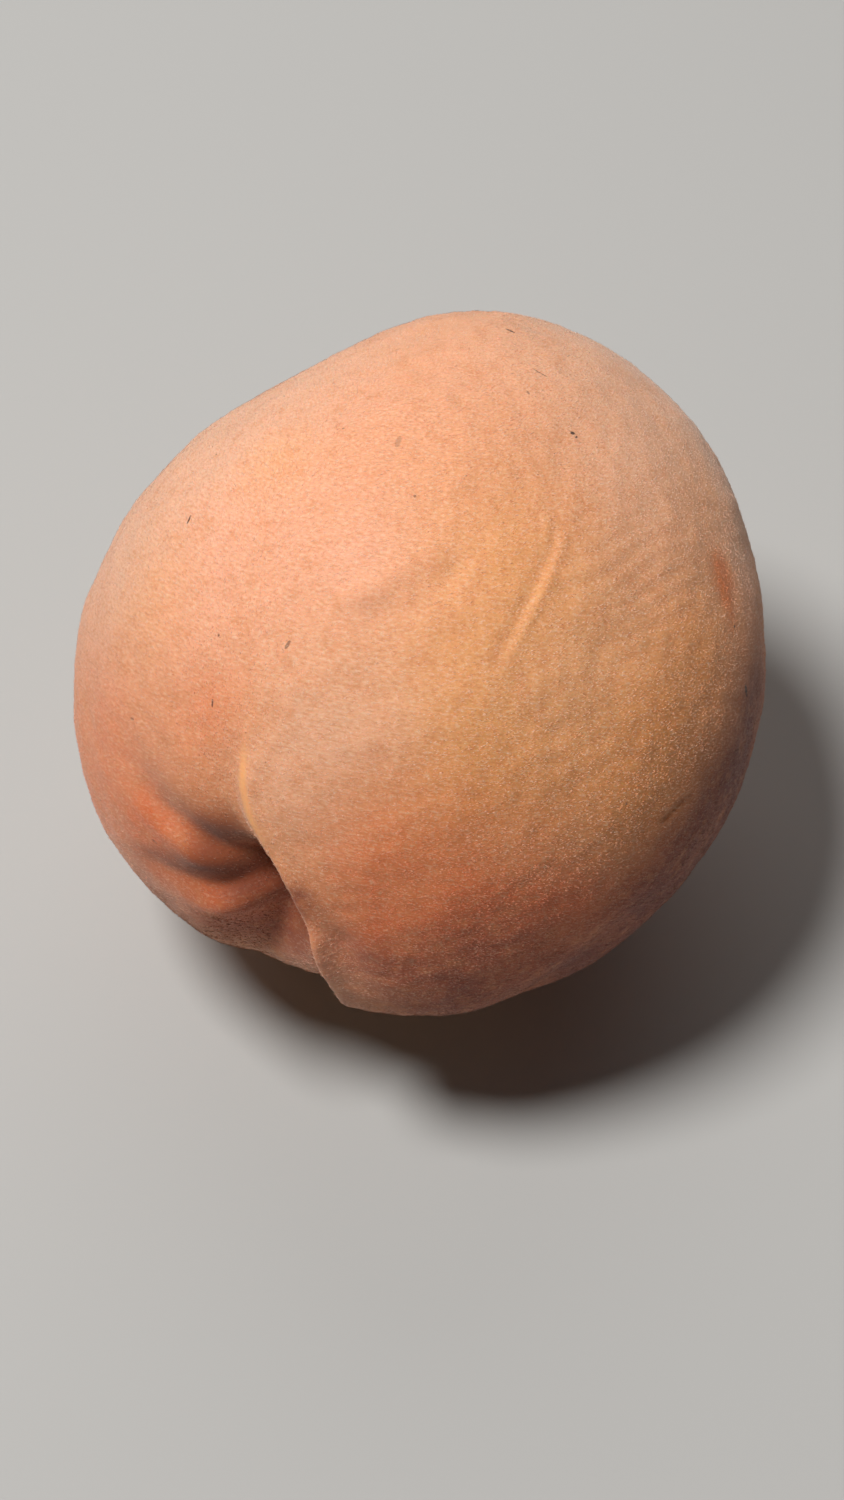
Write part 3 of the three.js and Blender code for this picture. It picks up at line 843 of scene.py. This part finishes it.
def fuzz_material(name, paleness):
    """Hair that is part straw and part the colour of the skin it grows from, painted shade
    included, with less of the straw on dark skin and on skin painted dark as shade."""
    material = plain_material(name, STRAW, 0.7)
    tree = material.node_tree
    group = tree.nodes.new("ShaderNodeGroup")
    group.node_tree = peach_colour
    # Dark skin: the ripe red, the russet, the wine blush with its painted shade, and the painted fold
    # shade.
    ripe = times(tree, mask(tree, "ripe"), 0.9)
    dark = largest(tree, mask(tree, "wine_blush_and_shade"), mask(tree, "painted_fold_shade"), ripe, mask(tree, "russet"))
    left = math_node(tree, "SUBTRACT", 1.0, times(tree, dark, PALENESS_LOST_ON_DARK))
    colour = blend(tree, times(tree, left, paleness), group.outputs["Color"], STRAW)
    tree.links.new(colour, tree.nodes["Principled BSDF"].inputs["Base Color"])
    tree.nodes["Principled BSDF"].inputs["Specular IOR Level"].default_value = 0.3
    return material


def gathered(values, picked, share):
    """Values of the skin's points, mixed from each hair's three corners."""
    return np.einsum("hc...,hc->h...", values[picked], share)


def hair_ways(normals, azimuth, rng):
    """Which way each hair lies: round the fruit away from the lip, a little towards the
    tip, with a random tangle, and a little up from the skin."""
    to_tip = tip_way - normals * (normals @ tip_way)[:, None]
    to_tip /= np.linalg.norm(to_tip, axis=1)[:, None] + 1e-9
    away = np.cross(normals, to_tip)
    swing = np.clip(azimuth / HAIR_TURNS_WITHIN, -1, 1)
    swing *= np.clip((180 - np.abs(azimuth)) / HAIR_MEETS_WITHIN, 0, 1)
    tangle = rng.normal(size=normals.shape) * HAIR_TANGLE
    ways = to_tip * HAIR_TO_TIP + away * swing[:, None] + tangle
    ways -= normals * (ways * normals).sum(axis=1)[:, None]
    ways /= np.linalg.norm(ways, axis=1)[:, None]
    ways += normals * (HAIR_RISE + rng.normal(size=(len(normals), 1)) * HAIR_RISE_SPREAD)
    return ways / np.linalg.norm(ways, axis=1)[:, None]


def grow_fuzz(name, hairs, paleness, lengths, widths, seed):
    """One tone of the fuzz: roots on the skin, thinner in the folds and bare on the lip."""
    rng = np.random.default_rng(seed)
    picked, share = hair_roots(hairs, rng)
    roots = gathered(skin_points, picked, share)
    normals = gathered(skin_normals, picked, share)
    normals /= np.linalg.norm(normals, axis=1)[:, None]
    ways = hair_ways(normals, skin_azimuth[picked[:, 0]], rng)
    lengths, widths = rng.uniform(*lengths, hairs), rng.uniform(*widths, hairs) / 2
    points = needles(roots, normals, ways, lengths, widths)
    masks = {key: gathered(values, picked, share) for key, values in skin_shades.items()}
    keep = (points[:, :, 2].min(axis=1) > 0) & (masks["lip"] < BARE_LIP_FROM)
    keep &= rng.random(hairs) > THINNED_IN_FOLDS * np.maximum(masks["painted_fold_shade"], masks["painted_gap_shade"])
    points = points[keep]

    corner = np.array([[0, 1, 3], [1, 2, 3], [2, 0, 3], [0, 2, 1]])
    faces = (np.arange(len(points))[:, None, None] * 4 + corner).reshape(-1, 3)
    made = new_object(name, points.reshape(-1, 3), faces.ravel(), np.full(len(faces), 3))
    add_masks(made, {key: np.repeat(values[keep], 4) for key, values in masks.items()})
    made.visible_shadow = False
    made.data.materials.append(fuzz_material(name, paleness))
    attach(made, "root")


for order, (tone, habit) in enumerate(FUZZ_TONES.items()):
    grow_fuzz(tone, seed=40 + order, **habit)


# ---------------------------------------------------------------------------------------
# The studio: a pale table, one soft lamp high on the left, a weak fill and the camera,
# which looks down on the fruit.
# ---------------------------------------------------------------------------------------

TABLE_COLOUR, TABLE_HALF_SIZE = (0.47, 0.46, 0.44), 1.5
CAMERA_DISTANCE = 0.45
CAMERA_ELEVATION = 55
CAMERA_LENS = 97.2
FRUIT_ABOVE_MIDDLE = 0.00904
LAMP_WAY = np.array([-0.335, -0.064, 0.941])
LAMP_SIZE, LAMP_POWER = 0.3, 10.6
FILL_SIZE, FILL_POWER = 1.2, 2.7
ROOM_LIGHT = 0.05


def aim(made, place, target):
    """Puts a lamp or camera at a place, turned to look at the target."""
    made.location = place
    way = Vector(target) - Vector(place)
    made.rotation_euler = way.to_track_quat("-Z", "Y").to_euler()
    bpy.context.collection.objects.link(made)


rise = math.radians(CAMERA_ELEVATION)
camera_back = np.array([0, -math.cos(rise), math.sin(rise)])
camera_up = np.array([0, math.sin(rise), math.cos(rise)])
camera_data = bpy.data.cameras.new("camera")
camera_data.lens = CAMERA_LENS
camera_data.sensor_width = 36
camera_data.clip_start = 0.01
camera = bpy.data.objects.new("camera", camera_data)
eye = fruit_middle + camera_back * CAMERA_DISTANCE
aim(camera, eye, fruit_middle - camera_up * FRUIT_ABOVE_MIDDLE)
bpy.context.scene.camera = camera


def add_lamp(name, way, size, power):
    """A round soft lamp one metre from the fruit's middle along its way."""
    data = bpy.data.lights.new(name, "AREA")
    data.shape = "DISK"
    data.size = size
    data.energy = power
    aim(bpy.data.objects.new(name, data), fruit_middle + way, fruit_middle)


add_lamp("key", LAMP_WAY / np.linalg.norm(LAMP_WAY), LAMP_SIZE, LAMP_POWER)
add_lamp("fill", camera_up, FILL_SIZE, FILL_POWER)

world = bpy.data.worlds.new("world")
world.use_nodes = True
background = world.node_tree.nodes["Background"]
background.inputs["Color"].default_value = (1, 1, 1, 1)
background.inputs["Strength"].default_value = ROOM_LIGHT
bpy.context.scene.world = world
bpy.context.scene.view_settings.view_transform = "Standard"

table_top = new_object(
    "table",
    np.array([[-1, -1, 0], [1, -1, 0], [1, 1, 0], [-1, 1, 0]]) * TABLE_HALF_SIZE,
    np.array([0, 1, 2, 3]),
    np.array([4]),
)
table_top.data.materials.append(plain_material("table", TABLE_COLOUR, 0.9))
